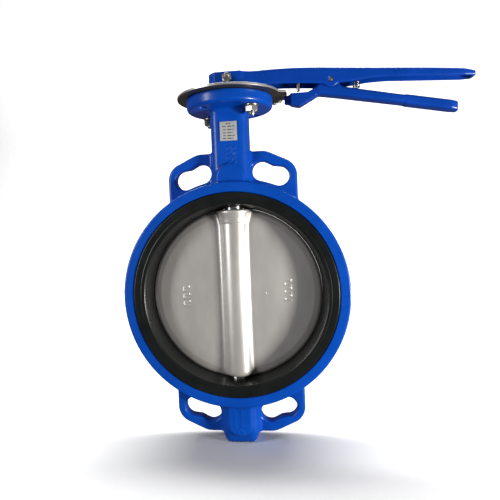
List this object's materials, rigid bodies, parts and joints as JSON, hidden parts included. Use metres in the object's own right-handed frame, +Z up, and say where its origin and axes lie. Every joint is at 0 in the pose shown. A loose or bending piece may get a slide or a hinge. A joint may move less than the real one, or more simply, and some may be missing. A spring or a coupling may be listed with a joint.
{
  "type": "butterfly valve",
  "caption": "Wafer butterfly valve with a rubber lined bore, a disc on a stem, slotted ears and a hand lever whose trigger latches in a notched plate.",
  "frame": {"origin": "centre of the bore, where the stem's axis crosses the pipe's axis", "axes": "+Z up along the stem towards the lever, the pipe along Y with the front face at -Y, and the lever along +X when the valve is shut"},
  "size_m": [0.406, 0.1294, 0.4362],
  "materials": {
    "body_paint": "glossy epoxy coat over sand-cast ductile iron",
    "lever_paint": "glossy epoxy coat over cast iron",
    "rubber": "moulded EPDM, matte on the gasket face and polished in the bore",
    "disc_steel": "blasted stainless casting",
    "stem_steel": "turned stainless bar",
    "plate_steel": "rolled stainless sheet, bright edge",
    "zinc": "zinc plated, slightly yellow",
    "bronze": "turned bronze",
    "label": null
  },
  "bodies": {
    "body": {"valve_body": "body_paint", "seat_liner": "rubber", "upper_bushing": "bronze", "middle_bushing": "bronze", "lower_bushing": "bronze", "upper_o_ring": "rubber", "middle_o_ring": "rubber", "lower_o_ring": "rubber", "thrust_washer": "bronze", "lever_plate": "plate_steel", "plate_bolt_front": "zinc", "plate_washer_front": "zinc", "plate_nut_front": "zinc", "plate_bolt_rear": "zinc", "plate_washer_rear": "zinc", "plate_nut_rear": "zinc", "nameplate": "label"},
    "stem_group": {"disc": "disc_steel", "upper_stem": "stem_steel", "lower_stem": "stem_steel", "retaining_ring": "stem_steel", "handle": "lever_paint", "clamp_bolt": "zinc", "clamp_nut": "zinc", "stop_pin": "zinc", "trigger_pin": "zinc", "trigger_spring": "stem_steel"},
    "trigger": {"trigger": "lever_paint"}
  },
  "joints": [
    {"name": "stem_turn", "type": "hinge", "parent": "body", "child": "stem_group", "pos_m": [0, 0, 0], "axis": [0, 0, 1], "range_deg": [0, 90]},
    {"name": "trigger_squeeze", "type": "hinge", "parent": "stem_group", "child": "trigger", "pos_m": [0.1174, 0, 0.2414], "axis": [0, -1, 0], "range_deg": [-3, 10], "stiffness_Nm_per_rad": 8, "springref_deg": 1.15, "deforming": ["trigger_spring"]}
  ]
}
